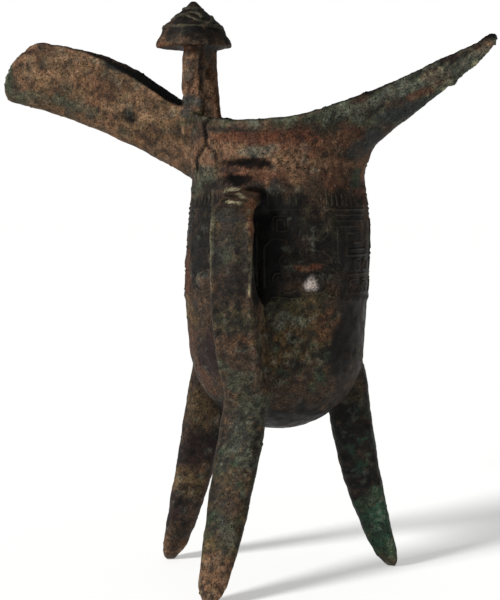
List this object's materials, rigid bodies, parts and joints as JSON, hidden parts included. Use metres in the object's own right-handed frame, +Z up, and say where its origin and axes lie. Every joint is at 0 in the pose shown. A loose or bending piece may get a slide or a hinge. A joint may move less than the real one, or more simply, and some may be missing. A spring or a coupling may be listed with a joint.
{
  "type": "bronze jue",
  "caption": "Ancient cast bronze jue: an oval wine cup on splayed blade legs, with a long pouring spout, a pointed tail, a strap handle and a capped post.",
  "frame": {"origin": "on the ground, under the middle of the vessel's outline", "axes": "+Z up, -X towards the spout, +X towards the tail, -Y towards the handle"},
  "size_m": [0.1668, 0.0718, 0.187],
  "materials": {
    "bronze": "matte"
  },
  "bodies": {
    "root": {"jue_vessel": "bronze"}
  },
  "joints": []
}
